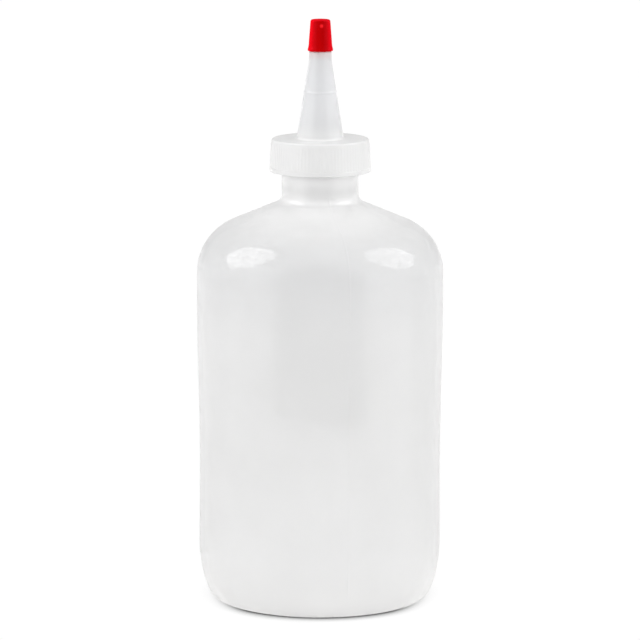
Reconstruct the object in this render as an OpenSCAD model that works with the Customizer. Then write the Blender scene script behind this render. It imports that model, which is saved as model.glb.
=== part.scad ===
// Squeeze bottle for glue, with a ribbed screw cap that carries a tapered
// applicator spout, a sealing liner under the cap and a push-on cap for the tip.
// Millimetres, +Z up. The origin is the centre of the ring that the bottle stands on.

/* [Bottle body] */
// Radius of the widest band, just below the shoulder
body_r = 38.75; // [37:0.05:41]
// Radius where the wall is slightly sunk
waist_r = 38.05; // [36.5:0.05:39]
// Height of the narrowest place of the sunk wall
waist_z = 40; // [30:1:60]
// Radius where the wall meets the heel
heel_r = 38.25; // [37:0.05:40]
// Height of the rounded heel
heel_h = 16.4; // [10:0.1:20]
// Outer radius of the ring that the bottle stands on
foot_r = 33.7; // [31:0.1:35]
// Width of the standing ring
foot_width = 2.5; // [1.5:0.1:4]
// How far the middle of the base is pushed up
push_up = 3; // [1.5:0.1:5]
// Height of the straight band under the shoulder
band_h = 7.6; // [4:0.1:10]
// Height at which the shoulder starts
shoulder_z = 103.6; // [90:0.1:115]
// Radius of the rounded shoulder
shoulder_r = 17.1; // [12:0.1:19]
// Angle that the rounded shoulder turns through
shoulder_turn = 67; // [60:1:72]
// Wall thickness of the body
wall = 1.2; // [0.8:0.1:1.6]
// Wall thickness of the base
base_wall = 1.6; // [1:0.1:2.4]

/* [Bottle neck] */
// Outer radius of the neck
neck_r = 12.06; // [11.8:0.02:12.3]
// Inner radius of the neck
mouth_r = 10.3; // [9.5:0.05:10.8]
// Fillet between the shoulder and the neck
neck_fillet = 3.1; // [1:0.1:4]
// Length of the neck from the fillet to the lip
neck_h = 14.74; // [14:0.02:18]

/* [Thread] */
// Rise of the thread in one turn (six turns to the inch)
pitch = 4.233; // [3.6:0.001:4.4]
// Angle that the neck's thread sweeps through
neck_sweep = 378; // [300:6:390]
// Angle that the cap's thread sweeps through
cap_sweep = 336; // [240:12:360]
// Height of the thread above the neck
thread_h = 1.24; // [1:0.02:1.24]

/* [Cap] */
// Height of the cap without its spout
cap_h = 10.25; // [9.6:0.05:11]
// Radius of the ribbed skirt at its bottom, over the ribs
cap_base_r = 15.9; // [15.7:0.05:16.6]
// Radius of the ribbed skirt at its top, over the ribs
cap_top_r = 15.4; // [15.25:0.05:16]
// Radius of the cap's rounded top edge
cap_edge = 0.7; // [0.3:0.05:0.9]
// Thickness of the cap's flat top
cap_top_wall = 1.6; // [1.2:0.1:2]
// Inner radius of the skirt
cap_bore_r = 13.65; // [13.5:0.05:13.8]
// Number of grip ribs
rib_count = 90; // [60:1:120]
// Height of a grip rib
rib_h = 0.22; // [0.1:0.01:0.3]
// Height of the plain band at the bottom of the skirt
rim_h = 1.3; // [0.8:0.1:2]

/* [Spout] */
// Radius of the spout where it meets the cap
spout_root_r = 7.37; // [6.8:0.01:8]
// Fillet between the spout and the cap
spout_fillet = 0.9; // [0.4:0.1:1.5]
// Length of the long taper
spout_taper_h = 24.7; // [18:0.1:30]
// Radius of the short straight land under the tip
land_r = 3.5; // [3.4:0.01:3.7]
// Length of the straight land
land_h = 2.6; // [1.5:0.1:4]
// Length of the seat that the tip cap is pushed onto
seat_h = 8.2; // [6:0.1:8.4]
// Radius of the seat at its bottom
seat_base_r = 3; // [2.9:0.01:3.05]
// Radius of the seat at its end
seat_end_r = 2.55; // [2.4:0.01:2.6]
// Radius of the glue passage where the spout starts
passage_r = 5.7; // [4.5:0.1:6]
// Radius of the outlet
outlet_r = 1.2; // [0.6:0.05:1.5]

/* [Liner] */
// Thickness of the sealing liner
liner_h = 1; // [0.6:0.05:1.4]
// Radius of the hole in the liner
liner_hole_r = 6.5; // [5.8:0.1:8]

/* [Tip cap] */
// Height of the tip cap
tip_h = 9.9; // [9.8:0.05:11]
// Radius of its rim
tip_rim_r = 3.95; // [3.9:0.01:4.3]
// Radius where the straight taper starts, above the flared rim
tip_side_r = 3.61; // [3.55:0.01:3.8]
// Radius at the end of the taper
tip_top_r = 3.12; // [3.05:0.01:3.3]
// Radius of the rounded top edge
tip_edge = 0.6; // [0.3:0.05:0.8]

/* [Hidden] */
$fn = 96;

// Gap between faces that only rest against each other
touch_gap = 0.03;
// Radial clearance of the tip cap on its seat
tip_gap = 0.03;
// Radial clearance of the liner in the cap
liner_gap = 0.35;
// How far added shapes reach into the wall that carries them
bite = 0.4;
// Width of the small moulded edges
small_edge = 0.2;
// Exponent of the heel's curve: 2 is an ellipse, less is flatter
heel_power = 1.68;
// Exponent of the pushed-up base: more gives a flatter middle
base_power = 4;

milky = [0.93, 0.93, 0.94];
foam_white = [0.97, 0.97, 0.95];
red = [0.75, 0.02, 0.03];

// Shoulder geometry, worked out so that arc, cone and fillet meet without a kink
shoulder_end_r = body_r - shoulder_r + shoulder_r * cos(shoulder_turn);
shoulder_end_z = shoulder_z + shoulder_r * sin(shoulder_turn);
cone_len = (shoulder_end_r - neck_r - neck_fillet * (1 - cos(shoulder_turn))) / sin(shoulder_turn);
neck_z = shoulder_end_z + cone_len * cos(shoulder_turn) + neck_fillet * sin(shoulder_turn);
lip_z = neck_z + neck_h;
lip_edge = 0.5;
// The inside starts a little further in than the foot, so that the wall stays even round the heel
inner_foot_r = foot_r - wall * 0.7;

// Stack above the lip
liner_z = lip_z + touch_gap;
liner_r = cap_bore_r - liner_gap;
cap_ceiling_z = liner_z + liner_h + touch_gap;
cap_top_z = cap_ceiling_z + cap_top_wall;
cap_z = cap_top_z - cap_h;
land_z = cap_top_z + spout_taper_h;
seat_z = land_z + land_h;
outlet_z = seat_z + seat_h;
// The tip cap stops just above the land
tip_z = seat_z + 0.2;

// Thread: one trapezoid ridge on the neck, and one in the cap just below it
neck_ridge_root_w = 2.3;
neck_ridge_crest_w = 0.9;
cap_ridge_root_w = 1.7;
cap_ridge_crest_w = 0.7;
cap_ridge_r = neck_r + 0.42;
flank_gap = 0.12;
thread_fade = 24;
thread_step = 12;
// The neck's ridge ends this far below the lip
thread_end = 1.9;
thread_z = lip_z - thread_end - pitch * neck_sweep / 360;
// The cap's ridge sits under the neck's ridge, flank to flank, and starts inside the skirt
neck_ridge_w = neck_ridge_root_w
    - (neck_ridge_root_w - neck_ridge_crest_w) * (cap_ridge_r - neck_r + bite) / (thread_h + bite);
ridge_drop = (neck_ridge_w + cap_ridge_crest_w) / 2 + flank_gap;
cap_thread_start = 105;

// Points of an arc in the r-z half plane
function arc_points(centre, r, from, to, steps) =
    [for (i = [0:steps]) let (a = from + (to - from) * i / steps)
        centre + r * [cos(a), sin(a)]];

// Smooth change from 0 to 1 as t goes from 0 to 1
function ease(t) = (1 - cos(180 * t)) / 2;

// Radius of the wall at height z: sunk at the waist, full at the heel and at the band
function wall_r(z) = z < waist_z
    ? waist_r + (heel_r - waist_r) * ease((waist_z - z) / (waist_z - heel_h))
    : waist_r + (body_r - waist_r) * ease((z - waist_z) / (shoulder_z - band_h - waist_z));

// Wall from the heel to the straight band, moved in by inset
function wall_points(inset) =
    let (z0 = heel_h, z1 = shoulder_z - band_h, steps = 16)
    [for (i = [1:steps]) let (z = z0 + (z1 - z0) * i / steps) [wall_r(z) - inset, z]];

// Quarter of a superellipse from the foot, at height z0, out and up to the wall
function heel_points(foot, inset, z0) =
    let (steps = 14, k = 2 / heel_power)
    [for (i = [0:steps]) let (a = 90 * i / steps)
        [foot + (heel_r - inset - foot) * pow(sin(a), k),
         z0 + (heel_h - z0) * (1 - pow(cos(a), k))]];

// Rounded shoulder, cone and neck fillet, moved in by inset and ending at radius neck
function shoulder_points(inset, neck) =
    let (r = shoulder_r - inset,
         f = neck_fillet + inset,
         end_r = body_r - shoulder_r + r * cos(shoulder_turn),
         end_z = shoulder_z + r * sin(shoulder_turn),
         len = (end_r - neck - f * (1 - cos(shoulder_turn))) / sin(shoulder_turn),
         top = end_z + len * cos(shoulder_turn) + f * sin(shoulder_turn))
    concat(
        arc_points([body_r - shoulder_r, shoulder_z], r, 0, shoulder_turn, 12),
        arc_points([neck + f, top], f, 180 + shoulder_turn, 180, 6));

// Height of the pushed-up base at radius r
function base_z(r) = push_up * (1 - pow(r / (foot_r - foot_width), base_power));

// Underside of the base from the standing ring to the axis, raised by lift
function base_points(lift) =
    let (steps = 10, edge = foot_r - foot_width)
    [for (i = [steps:-1:0]) let (r = edge * i / steps) [r, base_z(r) + lift]];

function reverse(list) = [for (i = [len(list) - 1:-1:0]) list[i]];

// One turning section of a thread ridge, between two radii and with a width at each
function ridge_section(r_in, w_in, r_out, w_out) =
    [[r_in, -w_in / 2], [r_out, -w_out / 2], [r_out, w_out / 2], [r_in, w_in / 2]];

// Helical ridge on the surface at surface_r, reaching to crest_r. The helix is at height z
// at angle 0, and the ridge sweeps from the angle start. Both its ends sink into the surface.
module thread_ridge(z, start, sweep, surface_r, crest_r, root_w, crest_w) {
    steps = ceil(sweep / thread_step);
    outward = crest_r > surface_r;
    root_r = outward ? surface_r - bite : surface_r + bite;
    hidden_r = outward ? surface_r - bite / 4 : surface_r + bite / 4;
    function fade(a) = min(1, a / thread_fade, (sweep - a) / thread_fade);
    function section(a) = let (r = hidden_r + (crest_r - hidden_r) * fade(a))
        outward ? ridge_section(root_r, root_w, r, crest_w) : ridge_section(r, crest_w, root_r, root_w);
    points = [for (i = [0:steps]) let (a = sweep * i / steps) for (p = section(a))
        [p[0] * cos(start + a), p[0] * sin(start + a), z + pitch * (start + a) / 360 + p[1]]];
    sides = [for (i = [0:steps - 1]) for (j = [0:3]) let (k = (j + 1) % 4, lo = 4 * i, hi = 4 * i + 4)
        each [[lo + j, lo + k, hi + k], [lo + j, hi + k, hi + j]]];
    last = 4 * steps;
    ends = [[3, 2, 1], [3, 1, 0], [last, last + 1, last + 2], [last, last + 2, last + 3]];
    polyhedron(points = points, faces = concat(sides, ends), convexity = 6);
}

// Blown shell: base, heel, wall, shoulder and neck in one piece, with the thread
module bottle() {
    inner = concat(
        reverse(base_points(base_wall)),
        heel_points(inner_foot_r, wall, base_wall),
        wall_points(wall),
        shoulder_points(wall, mouth_r),
        [[mouth_r, lip_z]]);
    outer = concat(
        [[neck_r - lip_edge, lip_z], [neck_r, lip_z - lip_edge]],
        reverse(shoulder_points(0, neck_r)),
        reverse(wall_points(0)),
        reverse(heel_points(foot_r, 0, 0)));
    color(milky)
    union() {
        rotate_extrude() polygon(concat(inner, outer, base_points(0)));
        thread_ridge(thread_z, 0, neck_sweep,
            neck_r, neck_r + thread_h, neck_ridge_root_w, neck_ridge_crest_w);
    }
}

// Disc with a hole, squeezed between the cap's ceiling and the bottle's lip
module sealing_liner() {
    color(foam_white)
    translate([0, 0, liner_z])
    difference() {
        cylinder(h = liner_h, r = liner_r);
        translate([0, 0, -1]) cylinder(h = liner_h + 2, r = liner_hole_r);
    }
}

// Radius of the skirt over its ribs at height z
function skirt_r(z) = cap_top_r + (cap_base_r - cap_top_r) * (cap_top_z - z) / cap_h;

// Ring of upright grip ribs that follow the skirt's taper
module grip_ribs() {
    low = cap_z + rim_h - bite / 2;
    high = cap_top_z - cap_edge - 0.3;
    run_out = 0.8;
    over = 1;
    core_r = (cap_bore_r + cap_top_r) / 2 - small_edge;
    reach_r = cap_base_r + 2 * over;
    step = 360 / rib_count;
    wheel = [for (i = [0:rib_count - 1]) let (a = i * step) each [
        core_r * [cos(a - step / 4), sin(a - step / 4)],
        reach_r * [cos(a - step / 6), sin(a - step / 6)],
        reach_r * [cos(a + step / 6), sin(a + step / 6)],
        core_r * [cos(a + step / 4), sin(a + step / 4)]]];
    intersection() {
        translate([0, 0, low])
        linear_extrude(high - low)
        difference() {
            polygon(wheel);
            circle(core_r - 1.5 * small_edge);
        }
        rotate_extrude()
        polygon([
            [0, low - over],
            [skirt_r(low - over), low - over],
            [skirt_r(high - run_out), high - run_out],
            [skirt_r(high) - rib_h, high],
            [skirt_r(high) - rib_h - over, high + over],
            [0, high + over]]);
    }
}

// Screw cap and applicator spout, moulded in one piece
module spout_cap() {
    rim_z = cap_z + rim_h;
    skirt = [
        [cap_bore_r, cap_z],
        [skirt_r(cap_z) - small_edge, cap_z],
        [skirt_r(cap_z), cap_z + small_edge],
        [skirt_r(rim_z), rim_z],
        [skirt_r(rim_z) - rib_h, rim_z + rib_h]];
    edge_r = skirt_r(cap_top_z - cap_edge) - rib_h - cap_edge;
    top_edge = arc_points([edge_r, cap_top_z - cap_edge], cap_edge, 0, 90, 6);
    taper = atan((spout_root_r - land_r) / spout_taper_h);
    root_r = spout_root_r + spout_fillet * (1 / cos(taper) - tan(taper));
    root = arc_points([root_r, cap_top_z + spout_fillet], spout_fillet, 270, 180 + taper, 6);
    tip = [
        [land_r, land_z],
        [land_r, seat_z],
        [seat_base_r, seat_z],
        [seat_end_r, outlet_z - small_edge],
        [seat_end_r - small_edge, outlet_z]];
    narrow_z = land_z + 1;
    passage = [
        [outlet_r, outlet_z],
        [outlet_r, narrow_z],
        [passage_r, cap_ceiling_z],
        [cap_bore_r, cap_ceiling_z]];
    color(milky)
    union() {
        rotate_extrude() polygon(concat(skirt, top_edge, root, tip, passage));
        grip_ribs();
        thread_ridge(thread_z - ridge_drop, cap_thread_start, cap_sweep,
            cap_bore_r, cap_ridge_r, cap_ridge_root_w, cap_ridge_crest_w);
    }
}

// Closed push-on cap with a flared rim
module tip_cap() {
    rim_top = tip_z + 0.55;
    flare_top = tip_z + 2.8;
    top_z = tip_z + tip_h;
    crown = 0.15;
    bevel = 0.15;
    bore_slope = (seat_base_r - seat_end_r) / seat_h;
    bore_top_z = outlet_z + 0.3;
    bore_base_r = seat_base_r + tip_gap + bore_slope * (seat_z - tip_z);
    bore_end_r = seat_base_r + tip_gap + bore_slope * (seat_z - bore_top_z);
    flare_steps = 6;
    flare = [for (i = [0:flare_steps]) let (t = i / flare_steps)
        [tip_side_r + (tip_rim_r - tip_side_r) * pow(1 - t, 2), rim_top + (flare_top - rim_top) * t]];
    outside = concat(
        [[0, tip_z], [tip_rim_r - bevel, tip_z], [tip_rim_r, tip_z + bevel]],
        flare,
        arc_points([tip_top_r - tip_edge, top_z - crown - tip_edge], tip_edge, 5, 82, 6),
        [[0, top_z]]);
    color(red)
    difference() {
        rotate_extrude() polygon(outside);
        rotate_extrude() polygon([
            [0, tip_z - 1],
            [bore_base_r + bore_slope, tip_z - 1],
            [bore_end_r, bore_top_z],
            [0, bore_top_z]]);
    }
}

bottle();
sealing_liner();
spout_cap();
tip_cap();
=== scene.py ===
"""Looks of the glue applicator bottle.

Each CAD solid is replaced by a finer mesh of the same piece: a blown bottle with its parting line and
thread, a ribbed screw cap with its spout, a foam sealing liner and a red tip cap. Outlines are (radius,
height) points in millimetres, turned about the Z axis. Angles are in degrees, and the front is at 270.
Lights, floor and camera are in metres.
"""

import math

import bpy
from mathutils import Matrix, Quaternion, Vector, noise


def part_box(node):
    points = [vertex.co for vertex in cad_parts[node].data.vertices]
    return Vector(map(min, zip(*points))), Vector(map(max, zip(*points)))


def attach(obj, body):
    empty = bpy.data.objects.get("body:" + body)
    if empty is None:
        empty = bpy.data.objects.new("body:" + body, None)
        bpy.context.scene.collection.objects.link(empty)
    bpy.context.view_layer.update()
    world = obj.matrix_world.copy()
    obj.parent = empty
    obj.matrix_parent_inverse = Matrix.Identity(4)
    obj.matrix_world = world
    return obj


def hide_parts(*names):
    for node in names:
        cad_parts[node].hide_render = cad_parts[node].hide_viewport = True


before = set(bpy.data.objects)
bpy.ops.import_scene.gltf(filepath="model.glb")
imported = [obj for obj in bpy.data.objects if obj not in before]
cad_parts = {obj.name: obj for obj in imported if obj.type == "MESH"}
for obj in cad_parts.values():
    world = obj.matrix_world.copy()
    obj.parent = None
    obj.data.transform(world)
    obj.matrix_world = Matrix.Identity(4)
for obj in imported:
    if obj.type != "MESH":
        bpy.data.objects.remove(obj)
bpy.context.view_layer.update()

MM = 0.001
FRONT = 270


def node_box(node):
    """Lowest and highest corner of a CAD node, in millimetres."""
    low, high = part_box(node)
    return low / MM, high / MM


bottle_low, bottle_high = node_box("bottle")
cap_low, cap_high = node_box("spout_cap")
liner_low, liner_high = node_box("sealing_liner")
tip_low, tip_high = node_box("tip_cap")

# ---------------------------------------------------------------- outlines


def arc(centre_r, centre_z, radius, start, end, steps):
    """Points of an arc in the r-z half plane."""
    points = []
    for i in range(steps + 1):
        angle = math.radians(start + (end - start) * i / steps)
        points.append((centre_r + radius * math.cos(angle), centre_z + radius * math.sin(angle)))
    return points


def straight(start, end, steps):
    """Points of a straight stretch, both ends included."""
    points = []
    for i in range(steps + 1):
        t = i / steps
        points.append((start[0] + (end[0] - start[0]) * t, start[1] + (end[1] - start[1]) * t))
    return points


def ease(t):
    """Smooth change from 0 to 1 as t goes from 0 to 1."""
    return (1 - math.cos(math.pi * min(1, max(0, t)))) / 2


def bump(distance, width):
    """Rounded bump that is 1 at distance 0 and fades out over the width."""
    return math.exp(-(distance / width) ** 2)


def turn_between(a, b):
    """Smallest turn between two angles."""
    return abs((a - b + 180) % 360 - 180)


# ---------------------------------------------------------------- meshes

SHARP_ANGLE = 40


def even_angles(count):
    """Angles that divide a full turn evenly."""
    return [360 * i / count for i in range(count)]


def lathe(name, sections, angles, closed=False):
    """Solid of revolution. Each section is (outline points, shape), where shape(r, z, angle) gives the
    moved (r, z) of a point, or is None. A point on the axis is a pole. A closed outline has none."""
    vertices = []
    rings = []
    for points, shape in sections:
        for r, z in points:
            on_axis = r < 1e-6
            ring = []
            for angle in angles[:1] if on_axis else angles:
                moved_r, moved_z = shape(r, z, angle) if shape else (r, z)
                turn = math.radians(angle)
                place = Vector((moved_r * math.cos(turn), moved_r * math.sin(turn), moved_z)) * MM
                ring.append(len(vertices))
                vertices.append(place)
            rings.append(ring)
    faces = []
    pairs = list(zip(rings, rings[1:]))
    if closed:
        pairs.append((rings[-1], rings[0]))
    count = len(angles)
    for ring, following in pairs:
        for i in range(count):
            j = (i + 1) % count
            if len(ring) == 1:
                faces.append((ring[0], following[j], following[i]))
            elif len(following) == 1:
                faces.append((ring[i], ring[j], following[0]))
            else:
                faces.append((ring[i], ring[j], following[j], following[i]))
    mesh = bpy.data.meshes.new(name)
    mesh.from_pydata(vertices, [], faces)
    mesh.validate()
    mesh.polygons.foreach_set("use_smooth", [True] * len(mesh.polygons))
    mesh.set_sharp_from_angle(angle=math.radians(SHARP_ANGLE))
    piece = bpy.data.objects.new(name, mesh)
    bpy.context.scene.collection.objects.link(piece)
    return piece


# ---------------------------------------------------------------- screw thread

THREAD_PITCH, THREAD_H, THREAD_FADE = 4.233, 1.24, 24
NECK_SWEEP, THREAD_FROM_LIP = 378, 1.9
THREAD_ROOT_W, THREAD_CREST_W = 1.96, 0.9


def ridge_height(angle, z, start_z, start, sweep, root_w, crest_w):
    """Height, from 0 to 1, of a helical thread ridge at an angle and height. The helix is at start_z
    at angle 0, and the ridge sweeps from the angle start. Its ends fade out."""
    height = 0
    for turn in range(3):
        along = angle - start + 360 * (turn - 1)
        if not 0 <= along <= sweep:
            continue
        middle = start_z + THREAD_PITCH * (start + along) / 360
        side = (root_w / 2 - abs(z - middle)) / ((root_w - crest_w) / 2)
        fade = min(1, along / THREAD_FADE, (sweep - along) / THREAD_FADE)
        height = max(height, min(1, max(0, side)) * fade)
    return height


# ---------------------------------------------------------------- bottle

WAIST_R, WAIST_Z = 38.05, 40
HEEL_R, HEEL_H, HEEL_POWER = 38.25, 16.4, 1.68
FOOT_R, FOOT_WIDTH = 33.7, 2.5
PUSH_UP, BASE_POWER = 3, 4
BAND_H = 7.6
SHOULDER_Z, SHOULDER_R, SHOULDER_TURN = 103.6, 17.1, 67
WALL, BASE_WALL, INNER_FOOT_R = 1.2, 1.6, 32.86
NECK_R, MOUTH_R, NECK_FILLET = 12.06, 10.3, 3.1
LIP_EDGE, MOUTH_EDGE = 0.5, 0.2
PARTING_ANGLE = FRONT + 13.5
PARTING_H, PARTING_W = 0.05, 0.22
PARTING_STEPS = [0.15, 0.3, 0.5, 0.9, 1.6]
UNEVEN_H, UNEVEN_ACROSS, UNEVEN_ALONG = 0.10, 1.3, 34
SCAR_H, SCAR_W, SCAR_REACH, SCAR_FADE = 0.45, 0.5, 16, 3

body_r = bottle_high.x
lip_z = bottle_high.z
neck_thread_z = lip_z - THREAD_FROM_LIP - THREAD_PITCH * NECK_SWEEP / 360


def wall_r(z):
    """Radius of the body's wall: sunk at the waist, full at the heel and under the shoulder."""
    if z < WAIST_Z:
        return WAIST_R + (HEEL_R - WAIST_R) * ease((WAIST_Z - z) / (WAIST_Z - HEEL_H))
    return WAIST_R + (body_r - WAIST_R) * ease((z - WAIST_Z) / (SHOULDER_Z - BAND_H - WAIST_Z))


def base_points(lift, steps):
    """Pushed-up base from the axis to the standing ring."""
    edge = FOOT_R - FOOT_WIDTH
    points = []
    for i in range(steps + 1):
        r = edge * i / steps
        points.append((r, PUSH_UP * (1 - (r / edge) ** BASE_POWER) + lift))
    return points


def heel_points(foot, inset, z0, steps):
    """Rounded heel from the standing ring out and up to the wall."""
    power = 2 / HEEL_POWER
    points = []
    for i in range(steps + 1):
        angle = math.pi / 2 * i / steps
        out = math.sin(angle) ** power
        up = 1 - max(0, math.cos(angle)) ** power
        points.append((foot + (HEEL_R - inset - foot) * out, z0 + (HEEL_H - z0) * up))
    return points


def wall_points(inset, steps):
    """Wall from the heel to the shoulder."""
    points = []
    for i in range(1, steps + 1):
        z = HEEL_H + (SHOULDER_Z - HEEL_H) * i / steps
        points.append((wall_r(z) - inset, z))
    return points


def shoulder_points(inset, neck):
    """Rounded shoulder, straight cone and neck fillet, ending at radius neck."""
    radius = SHOULDER_R - inset
    fillet = NECK_FILLET + inset
    turn = math.radians(SHOULDER_TURN)
    end_r = body_r - SHOULDER_R + radius * math.cos(turn)
    end_z = SHOULDER_Z + radius * math.sin(turn)
    cone = (end_r - neck - fillet * (1 - math.cos(turn))) / math.sin(turn)
    top = end_z + cone * math.cos(turn) + fillet * math.sin(turn)
    rounded = arc(body_r - SHOULDER_R, SHOULDER_Z, radius, 0, SHOULDER_TURN, 40)
    root = arc(neck + fillet, top, fillet, 180 + SHOULDER_TURN, 180, 12)
    return rounded[1:-1] + straight(rounded[-1], root[0], 8) + root[1:]


def parting(angle, r):
    """Height, from 0 to 1, of the mould's parting line at an angle, on both sides of the bottle."""
    turn = min(turn_between(angle, PARTING_ANGLE), turn_between(angle, PARTING_ANGLE + 180))
    return bump(math.radians(turn) * r, PARTING_W)


def body_shape(r, z, angle):
    """Slightly uneven blown wall with the parting line."""
    turn = math.radians(angle)
    place = Vector((math.cos(turn) * UNEVEN_ACROSS, math.sin(turn) * UNEVEN_ACROSS, z / UNEVEN_ALONG))
    rise = min(1, z / HEEL_H)
    uneven = UNEVEN_H * rise * noise.noise(place)
    return r + uneven + PARTING_H * rise * parting(angle, r), z


def base_shape(r, z, angle):
    """Pinch-off scar, where the mould closed on the tube, across the middle of the base."""
    turn = math.radians(angle - PARTING_ANGLE)
    off = abs(r * math.sin(turn))
    along = abs(r * math.cos(turn))
    scar = SCAR_H * bump(off, SCAR_W) * ease((SCAR_REACH - along) / SCAR_FADE)
    return r, z - scar


def neck_shape(r, z, angle):
    """Neck with its helical thread."""
    ridge = ridge_height(angle, z, neck_thread_z, 0, NECK_SWEEP, THREAD_ROOT_W, THREAD_CREST_W)
    return r + THREAD_H * ridge, z


def bottle_angles():
    """Even angles with finer ones across the two parting lines."""
    angles = even_angles(240)
    for side in (PARTING_ANGLE, PARTING_ANGLE + 180):
        angles.append(side % 360)
        for step in PARTING_STEPS:
            angles += [(side - step) % 360, (side + step) % 360]
    return sorted(set(round(angle, 4) for angle in angles))


def make_bottle():
    """Blown shell: base, heel, wall, shoulder, threaded neck and lip, then the inside back down."""
    shoulder = shoulder_points(0, NECK_R)
    outside = heel_points(FOOT_R, 0, 0, 44) + wall_points(0, 72) + shoulder
    neck = straight(shoulder[-1], (NECK_R, lip_z - LIP_EDGE), 64)[1:]
    lip = arc(NECK_R - LIP_EDGE, lip_z - LIP_EDGE, LIP_EDGE, 0, 90, 6)[1:]
    inner_shoulder = shoulder_points(WALL, MOUTH_R)[::2]
    inside = base_points(BASE_WALL, 12)
    inside += heel_points(INNER_FOOT_R, WALL, BASE_WALL, 20)[1:]
    inside += wall_points(WALL, 16)
    inside += inner_shoulder
    inside += straight(inner_shoulder[-1], (MOUTH_R, lip_z - MOUTH_EDGE), 4)[1:]
    inside.append((MOUTH_R + MOUTH_EDGE, lip_z))
    sections = [
        (base_points(0, 40), base_shape),
        (outside, body_shape),
        (neck, neck_shape),
        (lip, None),
        (inside[::-1], None),
    ]
    return lathe("milky_bottle", sections, bottle_angles())


# ---------------------------------------------------------------- sealing liner

LINER_HOLE_R, LINER_EDGE = 6.5, 0.15


def make_liner():
    """Flat foam ring with slightly softened edges."""
    inner, outer = LINER_HOLE_R, liner_high.x
    low, high = liner_low.z, liner_high.z
    edge = LINER_EDGE
    outline = [(inner, low + edge), (inner + edge, low)]
    outline += [(outer - edge, low), (outer, low + edge)]
    outline += [(outer, high - edge), (outer - edge, high)]
    outline += [(inner + edge, high), (inner, high - edge)]
    return lathe("foam_sealing_liner", [(outline, None)], even_angles(128), closed=True)


# ---------------------------------------------------------------- cap and spout

CAP_H, CAP_BASE_R, CAP_TOP_R, CAP_EDGE = 10.25, 15.9, 15.4, 0.7
CAP_TOP_WALL, CAP_BORE_R, BORE_EDGE, SKIRT_EDGE = 1.6, 13.65, 0.15, 0.25
RIB_COUNT, RIB_H, RIM_H = 90, 0.1, 1.3
RIB_NARROWING, RIB_FADE_FROM, RIB_FADE_H = 1.5, 0.2, 0.9
SPOUT_ROOT_R, SPOUT_FILLET = 7.37, 0.9
LAND_R, LAND_H, LAND_EDGE = 3.5, 2.6, 0.1
SEAT_H, SEAT_BASE_R, SEAT_END_R, SEAT_EDGE = 8.2, 3, 2.55, 0.2
PASSAGE_R, OUTLET_R, OUTLET_EDGE = 5.7, 1.2, 0.1
CAP_THREAD_START, CAP_SWEEP = 105, 336
CAP_RIDGE_ROOT_W, CAP_RIDGE_CREST_W, CAP_RIDGE_R = 1.45, 0.7, NECK_R + 0.42
RIDGE_DROP = 1.27
RING_DROP, RING_H, RING_W, RING_REACH = 10, 0.11, 0.33, 1

cap_z = cap_low.z
cap_top_z = cap_z + CAP_H
ceiling_z = cap_top_z - CAP_TOP_WALL
outlet_z = cap_high.z
seat_z = outlet_z - SEAT_H
land_z = seat_z - LAND_H
ring_z = land_z - RING_DROP
ribs_top_z = cap_top_z - CAP_EDGE
spout_slope = (SPOUT_ROOT_R - LAND_R) / (land_z - cap_top_z)


def skirt_r(z):
    """Radius of the skirt over its ribs."""
    return CAP_TOP_R + (CAP_BASE_R - CAP_TOP_R) * (cap_top_z - z) / CAP_H


def taper_point(z):
    """Point of the spout's tapered side."""
    return LAND_R + spout_slope * (land_z - z), z


def rib_shape(r, z, angle):
    """Grip ribs: the outline is the groove's, and the ribs rise from it and fade out at the top."""
    wave = math.cos(math.radians(angle * RIB_COUNT)) / 2 + 0.5
    top_fade = ease((ribs_top_z - RIB_FADE_FROM - z) / RIB_FADE_H)
    return r + RIB_H * wave ** RIB_NARROWING * top_fade, z


def bore_shape(r, z, angle):
    """Inside of the skirt with the thread that runs under the bottle's."""
    ridge = ridge_height(angle, z, neck_thread_z - RIDGE_DROP, CAP_THREAD_START, CAP_SWEEP,
                         CAP_RIDGE_ROOT_W, CAP_RIDGE_CREST_W)
    return r - (CAP_BORE_R - CAP_RIDGE_R) * ridge, z


def spout_shape(r, z, angle):
    """Faint raised ring part of the way up the taper."""
    return r + RING_H * bump(z - ring_z, RING_W), z


def skirt_points():
    """Foot of the skirt and the plain band under the ribs."""
    rim_low = cap_z + 0.3
    rim_z = cap_z + RIM_H
    foot = arc(skirt_r(cap_z) - SKIRT_EDGE, cap_z + SKIRT_EDGE, SKIRT_EDGE, 270, 360, 4)
    rim = straight((skirt_r(rim_low), rim_low), (skirt_r(rim_z), rim_z), 3)
    step = arc(skirt_r(rim_z) - RIB_H, rim_z, RIB_H, 0, 80, 4)[1:]
    return [(CAP_BORE_R + BORE_EDGE, cap_z)] + foot + rim + step


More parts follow.
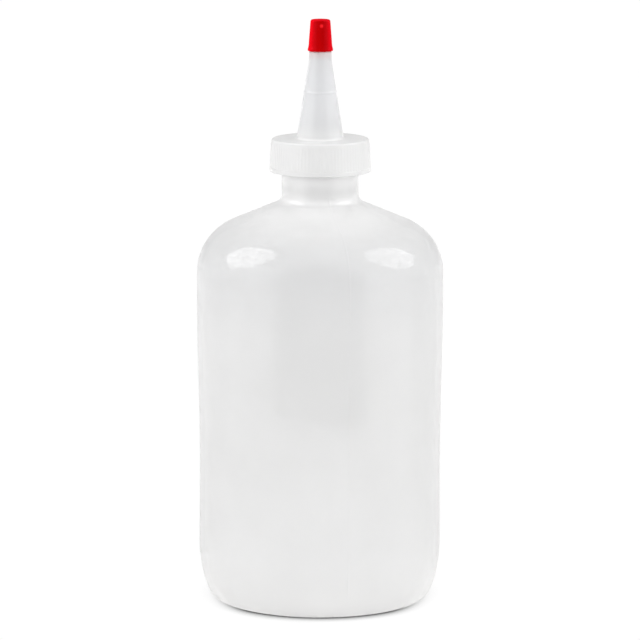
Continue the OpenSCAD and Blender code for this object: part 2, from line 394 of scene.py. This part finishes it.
def make_spout_cap():
    """One moulding: skirt, ribs, top, spout with its ring and seat, then the passage and the bore."""
    ribs_low = cap_z + RIM_H + RIB_H + 0.1
    groove_low = (skirt_r(ribs_low) - RIB_H, ribs_low)
    groove_top = (skirt_r(ribs_top_z) - RIB_H, ribs_top_z)
    top_edge = arc(groove_top[0] - CAP_EDGE, ribs_top_z, CAP_EDGE, 0, 90, 10)[1:]
    taper = math.atan(spout_slope)
    root_r = SPOUT_ROOT_R + SPOUT_FILLET * (1 / math.cos(taper) - math.tan(taper))
    root = arc(root_r, cap_top_z + SPOUT_FILLET, SPOUT_FILLET, 270, 180 + math.degrees(taper), 10)
    top = straight(top_edge[-1], root[0], 4)[1:-1]
    ring_low = taper_point(ring_z - RING_REACH)
    ring_high = taper_point(ring_z + RING_REACH)
    spout = straight(taper_point(root[-1][1]), ring_low, 20)[1:]
    spout += straight(ring_low, ring_high, 16)[1:]
    spout += straight(ring_high, (LAND_R, land_z), 20)[1:]
    land = straight((LAND_R, land_z), (LAND_R, seat_z - LAND_EDGE), 4)[1:]
    seat = [(LAND_R - LAND_EDGE, seat_z)]
    seat += straight((SEAT_BASE_R, seat_z), (SEAT_END_R, outlet_z - SEAT_EDGE), 12)
    outlet = [(SEAT_END_R - SEAT_EDGE, outlet_z), (OUTLET_R + OUTLET_EDGE, outlet_z)]
    outlet.append((OUTLET_R, outlet_z - OUTLET_EDGE))
    passage = straight((OUTLET_R, land_z + 1), (PASSAGE_R, ceiling_z), 12)
    ceiling = [(CAP_BORE_R - 0.2, ceiling_z)]
    bore = straight((CAP_BORE_R, ceiling_z - 0.2), (CAP_BORE_R, cap_z + BORE_EDGE), 44)
    sections = [
        (skirt_points(), None),
        (straight(groove_low, groove_top, 24), rib_shape),
        (top_edge + top + root, None),
        (spout, spout_shape),
        (land + seat + outlet + passage + ceiling, None),
        (bore, bore_shape),
    ]
    return lathe("ribbed_spout_cap", sections, even_angles(RIB_COUNT * 4), closed=True)


# ---------------------------------------------------------------- tip cap

TIP_RIM_R, TIP_SIDE_R, TIP_TOP_R = 3.95, 3.61, 3.12
TIP_RIM_H, TIP_RIM_W, TIP_RIM_EDGE, TIP_FLARE_H = 0.55, 0.35, 0.15, 2.8
TIP_EDGE, TIP_DOME_H = 0.6, 0.15
TIP_ROOM, TIP_FIT = 0.3, 0.03
GATE_ANGLE, GATE_DROP = FRONT + 6, 1.9
GATE_H, GATE_W, GATE_SQUEEZE = 0.2, 0.45, 0.7

gate_turn = math.radians(GATE_ANGLE)
gate_z = tip_high.z - GATE_DROP
gate_point = Vector((TIP_SIDE_R * math.cos(gate_turn), TIP_SIDE_R * math.sin(gate_turn), gate_z))


def tip_shape(r, z, angle):
    """Small moulding gate mark on the side, near the top."""
    across = math.radians(turn_between(angle, GATE_ANGLE)) * r
    away = math.hypot(across, (z - gate_z) * GATE_SQUEEZE)
    return r + GATE_H * bump(away, GATE_W), z


def flare_points(low, high, steps):
    """Rim that narrows in a curve to the side."""
    points = []
    for i in range(steps + 1):
        t = i / steps
        r = TIP_SIDE_R + (TIP_RIM_R - TIP_SIDE_R) * (1 - t) ** 2
        points.append((r, low + (high - low) * t))
    return points


def dome_points(start, high, steps):
    """Slightly domed top from its rounded edge to the axis."""
    points = []
    for i in range(1, steps + 1):
        r = start[0] * (1 - i / steps)
        points.append((r, start[1] + (high - start[1]) * (1 - (r / start[0]) ** 2)))
    return points


def make_tip_cap():
    """Bore that fits the spout's seat, flared rim, tapered side and domed top."""
    low, high = tip_low.z, tip_high.z
    rim = [(TIP_RIM_R - TIP_RIM_W, low)]
    rim += arc(TIP_RIM_R - TIP_RIM_EDGE, low + TIP_RIM_EDGE, TIP_RIM_EDGE, 270, 360, 4)
    flare = flare_points(low + TIP_RIM_H, low + TIP_FLARE_H, 12)
    edge = arc(TIP_TOP_R - TIP_EDGE, high - TIP_DOME_H - TIP_EDGE, TIP_EDGE, 5, 82, 10)
    side = straight(flare[-1], edge[0], 30)[1:-1]
    bore_slope = (SEAT_BASE_R - SEAT_END_R) / SEAT_H
    bore_top = outlet_z + TIP_ROOM
    bore_r = SEAT_BASE_R + TIP_FIT
    bore_low = (bore_r + bore_slope * (seat_z - low), low)
    bore_end = (bore_r + bore_slope * (seat_z - bore_top), bore_top)
    bore = [(0, bore_top)] + straight((bore_end[0] / 2, bore_top), bore_end, 2)
    bore += straight(bore_end, bore_low, 12)[1:]
    sections = [
        (bore, None),
        (rim, None),
        (flare + side, tip_shape),
        (edge + dome_points(edge[-1], high, 8), None),
    ]
    return lathe("red_tip_cap", sections, even_angles(144))


# ---------------------------------------------------------------- nodes


def add_node(tree, kind, inputs=None, **settings):
    """New shader node. Inputs map a socket's name or number to a number, a colour or another node's
    output. Settings are the node's own choices."""
    node = tree.nodes.new("ShaderNode" + kind)
    for setting, value in settings.items():
        setattr(node, setting, value)
    for key, value in (inputs or {}).items():
        socket = node.inputs[key]
        if isinstance(value, bpy.types.NodeSocket):
            tree.links.new(value, socket)
        elif socket.type == "RGBA":
            socket.default_value = (*value, 1)
        else:
            socket.default_value = value
    return node


def new_material(name):
    """Empty node material, as (material, node tree, object coordinates)."""
    material = bpy.data.materials.new(name)
    material.use_nodes = True
    tree = material.node_tree
    tree.nodes.clear()
    return material, tree, add_node(tree, "TexCoord").outputs["Object"]


def part_along(tree, place, axis):
    """One coordinate of a place or direction."""
    return add_node(tree, "SeparateXYZ", {0: place}).outputs[axis]


def stretched(tree, coords, along):
    """Coordinates scaled along Z only."""
    return add_node(tree, "Mapping", {"Vector": coords, "Scale": (1, 1, along)}).outputs[0]


def calculated(tree, operation, first, second=0):
    """Result of a math operation on one or two numbers."""
    return add_node(tree, "Math", {0: first, 1: second}, operation=operation).outputs[0]


def mapped(tree, value, start, end, low=0, high=1, curve="SMOOTHSTEP"):
    """Value that changes from low to high as the input goes from start to end."""
    limits = {"From Min": start, "From Max": end, "To Min": low, "To Max": high}
    node = add_node(tree, "MapRange", {"Value": value, **limits}, interpolation_type=curve)
    return node.outputs["Result"]


def noise_value(tree, coords, scale, detail, low, high):
    """Noise mapped to the range low to high."""
    texture = add_node(tree, "TexNoise", {"Vector": coords, "Scale": scale, "Detail": detail})
    return mapped(tree, texture.outputs["Fac"], 0.3, 0.7, low, high, "LINEAR")


def mixed_colour(tree, factor, first, second, blend="MIX"):
    """Colour between two colours by a factor from 0 to 1."""
    inputs = {0: factor, 6: first, 7: second}
    return add_node(tree, "Mix", inputs, data_type="RGBA", blend_type=blend).outputs[2]


def scaled(tree, colour, factor):
    """Colour times a factor."""
    return add_node(tree, "VectorMath", {0: colour, "Scale": factor}, operation="SCALE").outputs[0]


def surface_bump(tree, height, distance, strength=1):
    """Normal that follows a height."""
    inputs = {"Height": height, "Distance": distance, "Strength": strength}
    return add_node(tree, "Bump", inputs).outputs["Normal"]


def mixed_shader(tree, share, first, second):
    """Mix of two shader nodes: all first at share 0, all second at share 1."""
    return add_node(tree, "MixShader", {0: share, 1: first.outputs[0], 2: second.outputs[0]})


def ray_is(tree, kind):
    """1 for rays of this kind, and 0 for others."""
    return add_node(tree, "LightPath").outputs["Is " + kind + " Ray"]


# ---------------------------------------------------------------- materials

SKIN_MOST = 0.25
WHITE = (1, 1, 1)
# Red cap colours: a darker middle and lighter edges that are painted shade and light, and a paler gate
# colour that is a painted highlight.
RED_SHADED_MIDDLE, RED_LIT_EDGE, RED_GATE_HIGHLIGHT = (0.38, 0.0003, 0.0006), (0.64, 0.0008, 0.005), (0.75, 0.012, 0.016)
RED_LIT_EDGE_SPAN, RED_SHINE = (0.08, 0.5), (1, 0.05, 0.09)
# Size of the painted highlight at the gate.
GATE_HIGHLIGHT_R, GATE_HIGHLIGHT_END = 0.3 * MM, 0.9 * MM
# Painted light: the red cap's left side lighter, its right side darker.
RED_LIGHT_SIDE_X, RED_LIT_LEFT, RED_SHADED_RIGHT = 3.5 * MM, 1.1, 0.9
FOAM_DARK, FOAM_LIGHT = (0.78, 0.78, 0.76), (0.90, 0.90, 0.88)


def painted_light_by_height(tree, coords, painted_light_tones):
    """Colour that changes with the height, used to paint light and shade. Each tone is (height in
    millimetres, colour).
    """
    low, high = painted_light_tones[0][0], painted_light_tones[-1][0]
    share = mapped(tree, part_along(tree, coords, "Z"), low * MM, high * MM, curve="LINEAR")
    ramp = add_node(tree, "ValToRGB", {"Fac": share})
    ramp.color_ramp.interpolation = "EASE"
    elements = ramp.color_ramp.elements
    while len(elements) < len(painted_light_tones):
        elements.new(0.5)
    for element, (height, colour) in zip(elements, painted_light_tones):
        element.position = (height - low) / (high - low)
        element.color = (*colour, 1)
    return ramp.outputs["Color"]


def finish_skin(tree, under, rough, gloss, normal, tint, ior):
    """Glossy skin over the shader of the plastic under it. Gloss makes its highlights a little patchy.
    The camera sees at most SKIN_MOST of it, so that the edges don't mirror."""
    skin = add_node(tree, "BsdfAnisotropic",
                    {"Color": scaled(tree, tint, gloss), "Roughness": rough, "Normal": normal})
    fresnel = add_node(tree, "Fresnel", {"IOR": ior, "Normal": normal}).outputs[0]
    most = mapped(tree, ray_is(tree, "Camera"), 0, 1, 1, SKIN_MOST, "LINEAR")
    share = calculated(tree, "MINIMUM", fresnel, most)
    finished = mixed_shader(tree, share, under, skin)
    add_node(tree, "OutputMaterial", {"Surface": finished.outputs[0]})


def milky_plastic(name, painted_light_tones, through, roughness):
    """Waxy, translucent polyethylene: part of the light goes through the wall, the rest scatters on it.
    Tones give the colour by height, which paints in light and shade, and through gives (height, share
    that passes) at two heights."""
    material, tree, coords = new_material(name)
    cloud = noise_value(tree, coords, scale=45, detail=3, low=0.975, high=1)
    # The colour by height is painted light and shade; the cloud is the plastic's own uneven tone.
    colour = scaled(tree, painted_light_by_height(tree, coords, painted_light_tones), cloud)
    (low, low_share), (high, high_share) = through
    height = part_along(tree, coords, "Z")
    share = mapped(tree, height, low * MM, high * MM, low_share, high_share)
    scattered = add_node(tree, "BsdfDiffuse", {"Color": colour})
    passing = add_node(tree, "BsdfTranslucent", {"Color": colour})
    wall = mixed_shader(tree, share, scattered, passing)
    rough = noise_value(tree, coords, scale=260, detail=2, low=roughness * 0.85, high=roughness * 1.2)
    gloss = noise_value(tree, stretched(tree, coords, 2), scale=550, detail=2, low=0.6, high=1.4)
    waves = noise_value(tree, coords, scale=300, detail=1, low=0, high=1)
    normal = surface_bump(tree, waves, 0.02 * MM)
    finish_skin(tree, wall, rough, gloss, normal, tint=WHITE, ior=1.51)
    return material


def red_plastic():
    """Opaque, softly glossy coloured polyethylene with faint flow streaks. Its lighter edges, darker
    middle and lighter left side are painted light and shade, and its paler spot at the gate is a painted
    highlight."""
    material, tree, coords = new_material("red_polyethylene")
    # Painted light and shade: lighter edges, darker middle.
    facing = add_node(tree, "LayerWeight", {"Blend": 0.5}).outputs["Facing"]
    colour = mixed_colour(tree, mapped(tree, facing, *RED_LIT_EDGE_SPAN), RED_SHADED_MIDDLE, RED_LIT_EDGE)
    streaks = noise_value(tree, stretched(tree, coords, 0.15), scale=600, detail=2, low=0.97, high=1.03)
    colour = scaled(tree, colour, streaks)
    # Painted light: the left side lighter, the right side darker.
    side = part_along(tree, coords, "X")
    colour = scaled(tree, colour, mapped(tree, side, -RED_LIGHT_SIDE_X, RED_LIGHT_SIDE_X, RED_LIT_LEFT, RED_SHADED_RIGHT))
    # Painted highlight: a paler spot at the gate.
    from_gate = add_node(tree, "VectorMath", {0: coords, 1: gate_point * MM}, operation="DISTANCE")
    painted_gate_highlight = mapped(tree, from_gate.outputs["Value"], GATE_HIGHLIGHT_R, GATE_HIGHLIGHT_END, 1, 0)
    colour = mixed_colour(tree, painted_gate_highlight, colour, RED_GATE_HIGHLIGHT)
    rough = noise_value(tree, coords, scale=1200, detail=2, low=0.16, high=0.22)
    gloss = noise_value(tree, coords, scale=900, detail=2, low=0.85, high=1.15)
    waves = noise_value(tree, coords, scale=700, detail=1, low=0, high=1)
    normal = surface_bump(tree, waves, 0.01 * MM)
    solid = add_node(tree, "BsdfDiffuse", {"Color": colour})
    finish_skin(tree, solid, rough, gloss, normal, tint=RED_SHINE, ior=1.45)
    return material


def liner_foam():
    """Closed-cell foam: matt white with fine cells."""
    material, tree, coords = new_material("foam_sheet")
    cells = add_node(tree, "TexVoronoi", {"Vector": coords, "Scale": 2600}).outputs["Distance"]
    colour = mixed_colour(tree, cells, FOAM_DARK, FOAM_LIGHT)
    normal = surface_bump(tree, cells, 0.1 * MM, 0.5)
    solid = add_node(tree, "BsdfPrincipled", {"Base Color": colour, "Roughness": 0.85, "Normal": normal})
    add_node(tree, "OutputMaterial", {"Surface": solid.outputs[0]})
    return material


# ---------------------------------------------------------------- studio

OVER_WHITE = 1.01
FLOOR_SIZE, FLOOR_GAP = 12, 0.05 * MM
SHADOW_REACH, SHADOW_DEPTH, SHADOW_CLOSED, SHADOW_OPEN = 0.014, 0.9, 0.25, 0.64
SHADOW_FULL_X, SHADOW_FAINT_X, SHADOW_FAINT = 0.021, 0.036, 0.1
TABLE_R, TABLE_BLUR, TABLE_GLOW, TABLE_COLOUR = 0.29, 0.005, 0.45, (0.90, 0.898, 0.894)
DARK_COLOUR, DARK_BEARING, LIT_BEARING = (0.20, 0.20, 0.20), -0.86, -0.64
SHADED_Y, SHADED_FULL_Y, SHADED = -0.02, 0.06, 0.72
SOFTBOX_LEFT, SOFTBOX_RIGHT = 2.5, 2.1
SOFTBOX_WIDTH, SOFTBOX_HEIGHT, SOFTBOX_ROLL = 0.68, 0.48, -55
SOFTBOX_ELEVATION, SOFTBOX_DISTANCE, SOFTBOX_FORWARD, SOFTBOX_AIM_Z = 37, 0.75, 0.04, 0.112
WORLD_FRONT, WORLD_BACK, WORLD_SIDES = (1.5, 1.5, 1.5), (0.7, 0.7, 0.7), (0.5, 0.5, 0.5)
WORLD_FRONT_Y, WORLD_BACK_Y, WORLD_SIDES_X = -0.8, 0.9, 0.3
ROOM_DARK, ROOM_DARK_Y, ROOM_LIT_Y = 0.15, -0.9, -0.55
CAMERA_PLACE, CAMERA_LENS, CAMERA_SENSOR = (0, -1.1923, 0.3016), 215.95, 36
CAMERA_DOWN, CAMERA_ROLL = 10.16, 0.08


def floor_seen(tree, coords):
    """What the camera sees of the floor: over-exposed white, less a thin contact shadow that is
    fainter at the sides."""
    openness = add_node(tree, "AmbientOcclusion", {"Distance": SHADOW_REACH}, samples=16).outputs["AO"]
    shade = mapped(tree, openness, SHADOW_CLOSED, SHADOW_OPEN, SHADOW_DEPTH, 0)
    across = calculated(tree, "ABSOLUTE", part_along(tree, coords, "X"))
    fade = mapped(tree, across, SHADOW_FULL_X, SHADOW_FAINT_X, 1, SHADOW_FAINT)
    lost = calculated(tree, "MULTIPLY", shade, fade)
    return add_node(tree, "Emission", {"Strength": calculated(tree, "SUBTRACT", OVER_WHITE, lost)})


def floor_lit(tree, coords):
    """What lights and mirrors in the bottle: a bright round table, dark floor beyond it on the
    camera's side, bright floor beside and behind it, and all of it dimmer behind the bottle."""
    away = add_node(tree, "VectorMath", {0: coords}, operation="LENGTH").outputs["Value"]
    table = mapped(tree, away, TABLE_R - TABLE_BLUR, TABLE_R + TABLE_BLUR, 1, 0)
    bearing = add_node(tree, "VectorMath", {0: coords}, operation="NORMALIZE").outputs["Vector"]
    beside = mapped(tree, part_along(tree, bearing, "Y"), DARK_BEARING, LIT_BEARING)
    bright = calculated(tree, "MAXIMUM", table, beside)
    colour = mixed_colour(tree, bright, DARK_COLOUR, TABLE_COLOUR)
    behind = mapped(tree, part_along(tree, coords, "Y"), SHADED_Y, SHADED_FULL_Y, 1, SHADED)
    colour = scaled(tree, colour, behind)
    matt = add_node(tree, "BsdfDiffuse", {"Color": colour})
    glow = add_node(tree, "Emission", {"Color": colour, "Strength": TABLE_GLOW})
    return add_node(tree, "AddShader", {0: matt.outputs[0], 1: glow.outputs[0]})


def make_floor():
    """Pale seamless floor, a hair under the bottle so that the two never share a plane."""
    corners = []
    for x, y in ((-1, -1), (1, -1), (1, 1), (-1, 1)):
        corners.append((x * FLOOR_SIZE, y * FLOOR_SIZE, -FLOOR_GAP))
    mesh = bpy.data.meshes.new("studio_floor")
    mesh.from_pydata(corners, [], [(0, 1, 2, 3)])
    floor = bpy.data.objects.new("studio_floor", mesh)
    bpy.context.scene.collection.objects.link(floor)
    material, tree, coords = new_material("studio_floor")
    mixed = mixed_shader(tree, ray_is(tree, "Camera"), floor_lit(tree, coords), floor_seen(tree, coords))
    add_node(tree, "OutputMaterial", {"Surface": mixed.outputs[0]})
    mesh.materials.append(material)


def make_softbox(name, side, radiance):
    """Oval softbox at one side, raised and turned to the bottle. It only makes highlights: the fill
    light already stands for its soft light."""
    elevation = math.radians(SOFTBOX_ELEVATION)
    direction = Vector((side * math.cos(elevation), -SOFTBOX_FORWARD, math.sin(elevation))).normalized()
    light = bpy.data.lights.new(name, "AREA")
    light.shape = "ELLIPSE"
    light.size = SOFTBOX_WIDTH
    light.size_y = SOFTBOX_HEIGHT
    light.energy = radiance * math.pi * (math.pi / 4 * light.size * light.size_y)
    lamp = bpy.data.objects.new(name, light)
    lamp.location = Vector((0, 0, SOFTBOX_AIM_Z)) + direction * SOFTBOX_DISTANCE
    lamp.rotation_mode = "QUATERNION"
    facing = (-direction).to_track_quat("-Z", "Y")
    lamp.rotation_quaternion = facing @ Quaternion((0, 0, 1), math.radians(side * SOFTBOX_ROLL))
    lamp.visible_diffuse = False
    bpy.context.scene.collection.objects.link(lamp)


def make_world():
    """Soft fill: brightest on the camera's side, dimmer behind, with brighter side walls. The camera
    sees white, and the bottle mirrors a darker room behind the camera."""
    world = bpy.data.worlds.new("studio")
    bpy.context.scene.world = world
    world.use_nodes = True
    tree = world.node_tree
    tree.nodes.clear()
    coords = add_node(tree, "TexCoord").outputs["Generated"]
    depth = part_along(tree, coords, "Y")
    across = calculated(tree, "ABSOLUTE", part_along(tree, coords, "X"))
    fill = mixed_colour(tree, mapped(tree, depth, WORLD_FRONT_Y, WORLD_BACK_Y), WORLD_FRONT, WORLD_BACK)
    sides = mixed_colour(tree, mapped(tree, across, WORLD_SIDES_X, 1), (0, 0, 0), WORLD_SIDES)
    fill = mixed_colour(tree, 1, fill, sides, "ADD")
    room = mapped(tree, depth, ROOM_DARK_Y, ROOM_LIT_Y, ROOM_DARK, 1)
    fill = mixed_colour(tree, ray_is(tree, "Glossy"), fill, scaled(tree, fill, room))
    seen = mixed_colour(tree, ray_is(tree, "Camera"), fill, (OVER_WHITE, OVER_WHITE, OVER_WHITE))
    background = add_node(tree, "Background", {"Color": seen})
    add_node(tree, "OutputWorld", {"Surface": background.outputs[0]})


def make_camera():
    """Long lens in front of the bottle, a little above it and tilted down."""
    data = bpy.data.cameras.new("camera")
    data.sensor_width = CAMERA_SENSOR
    data.lens = CAMERA_LENS
    camera = bpy.data.objects.new("camera", data)
    camera.location = CAMERA_PLACE
    tilt = Quaternion((1, 0, 0), math.radians(90 - CAMERA_DOWN))
    camera.rotation_mode = "QUATERNION"
    camera.rotation_quaternion = tilt @ Quaternion((0, 0, 1), math.radians(CAMERA_ROLL))
    bpy.context.scene.collection.objects.link(camera)
    bpy.context.scene.camera = camera


# ---------------------------------------------------------------- assembly

BODY_ROUGHNESS, BODY_THROUGH = 0.045, [(112, 0.6), (129, 0.25)]
# The body's colour by height is painted light and shade: it is tuned brightness, with a painted shade
# band at the neck fillet under the cap.
BODY_PAINTED_LIGHT_TONES = [
    (0, (0.930, 0.928, 0.926)),
    (8, (0.947, 0.946, 0.945)),
    (20, (0.958, 0.958, 0.958)),
    (50, (0.962, 0.962, 0.962)),
    (60, (0.970, 0.970, 0.970)),
    (70, (0.973, 0.973, 0.973)),
    (88, (0.985, 0.985, 0.986)),
    (99, (0.979, 0.980, 0.983)),
    (107, (0.966, 0.968, 0.972)),
    (113, (0.971, 0.973, 0.976)),
    (122, (0.970, 0.970, 0.970)),
    (127, (0.89, 0.89, 0.89)),
    (130, (0.80, 0.80, 0.80)),
    (134, (0.97, 0.97, 0.97)),
    (144, (0.99, 0.99, 0.99)),
]
CAP_ROUGHNESS, CAP_THROUGH = 0.12, [(145, 0.38), (150, 0.5)]
# The cap's colour by height is painted light and shade: a lighter top face, a faint blue cast up the
# spout, and a pink band under the red tip cap that is painted red light from it.
CAP_PAINTED_LIGHT_TONES = [
    (135, (0.91, 0.91, 0.91)),
    (145.2, (0.91, 0.91, 0.91)),
    (145.7, (0.99, 0.99, 0.99)),
    (146.3, (0.94, 0.94, 0.94)),
    (147.5, (0.985, 0.987, 0.99)),
    (152, (0.957, 0.961, 0.971)),
    (164, (0.92, 0.925, 0.94)),
    (170, (0.905, 0.91, 0.92)),
    (173, (0.92, 0.80, 0.80)),
    (181, (0.92, 0.80, 0.80)),
]


def place(piece, node, body, slot, material):
    """Puts a finished piece on its body in place of its CAD node."""
    piece.data.materials.append(material)
    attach(piece, body)
    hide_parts(node)


body_plastic = milky_plastic("milky_polyethylene_body", BODY_PAINTED_LIGHT_TONES, BODY_THROUGH, BODY_ROUGHNESS)
cap_plastic = milky_plastic("milky_polyethylene_cap", CAP_PAINTED_LIGHT_TONES, CAP_THROUGH, CAP_ROUGHNESS)
place(make_bottle(), "bottle", "bottle", "bottle_plastic", body_plastic)
place(make_liner(), "sealing_liner", "liner", "liner_foam", liner_foam())
place(make_spout_cap(), "spout_cap", "cap", "cap_plastic", cap_plastic)
place(make_tip_cap(), "tip_cap", "tip", "red_plastic", red_plastic())

make_floor()
make_softbox("softbox_left", -1, SOFTBOX_LEFT)
make_softbox("softbox_right", 1, SOFTBOX_RIGHT)
make_world()
make_camera()
bpy.context.scene.view_settings.view_transform = "Standard"
bpy.context.scene.cycles.diffuse_bounces = 10
bpy.context.scene.cycles.max_bounces = 14
